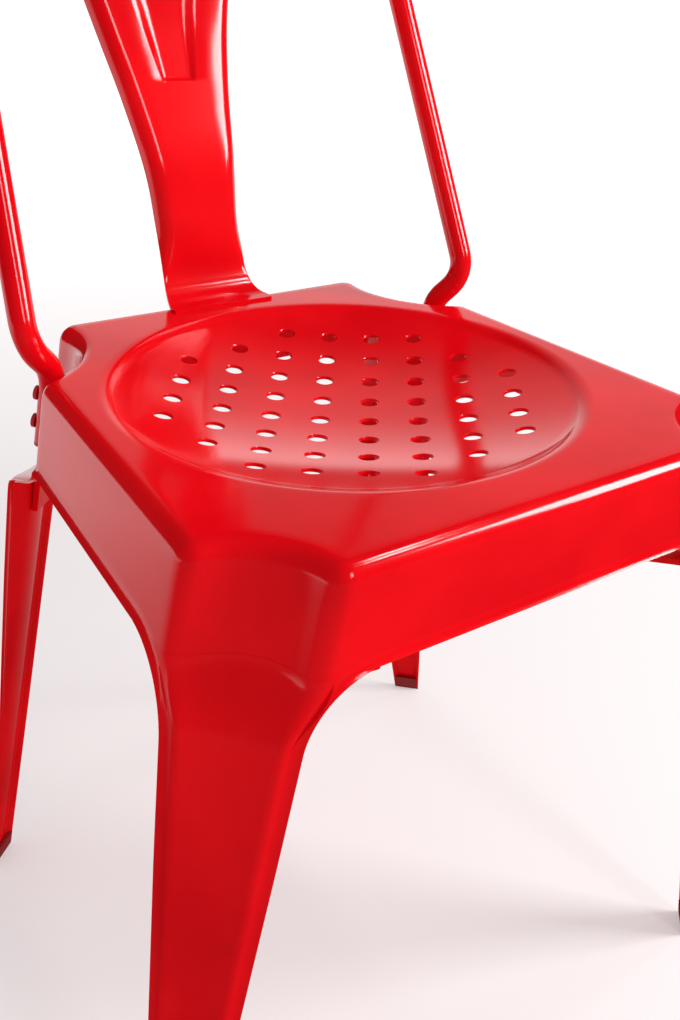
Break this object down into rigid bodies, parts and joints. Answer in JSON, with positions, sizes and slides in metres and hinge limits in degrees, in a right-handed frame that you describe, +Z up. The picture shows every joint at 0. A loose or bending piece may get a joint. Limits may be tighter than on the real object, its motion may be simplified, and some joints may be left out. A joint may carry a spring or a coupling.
{
  "type": "metal bistro chair",
  "caption": "Pressed steel side chair with a dished and drained seat, fluted sheet legs, a bent tube back hoop and a flared centre splat.",
  "frame": {"origin": "on the floor, under the middle of the whole chair's bounding box", "axes": "+Z up, the chair faces -Y, +X is to the left of someone who sits in it"},
  "size_m": [0.4804, 0.4602, 0.85],
  "materials": {
    "red_enamel": "gloss",
    "glide_rubber": "matte",
    "plug_plastic": "matte",
    "zinc_steel": "satin"
  },
  "bodies": {
    "root": {"seat_pan": "red_enamel", "back_hoop": "red_enamel", "back_splat": "red_enamel", "leg_front_left": "red_enamel", "leg_front_right": "red_enamel", "leg_rear_left": "red_enamel", "leg_rear_right": "red_enamel", "brace_upper": "red_enamel", "brace_lower": "red_enamel", "brace_rivet": "red_enamel", "splat_rivets": "red_enamel", "glide_front_left": "glide_rubber", "glide_front_right": "glide_rubber", "glide_rear_left": "glide_rubber", "glide_rear_right": "glide_rubber", "hoop_plug_left": "plug_plastic", "hoop_plug_right": "plug_plastic", "hoop_screws": "zinc_steel", "hoop_washers": "zinc_steel", "hoop_nuts": "zinc_steel"}
  },
  "joints": []
}
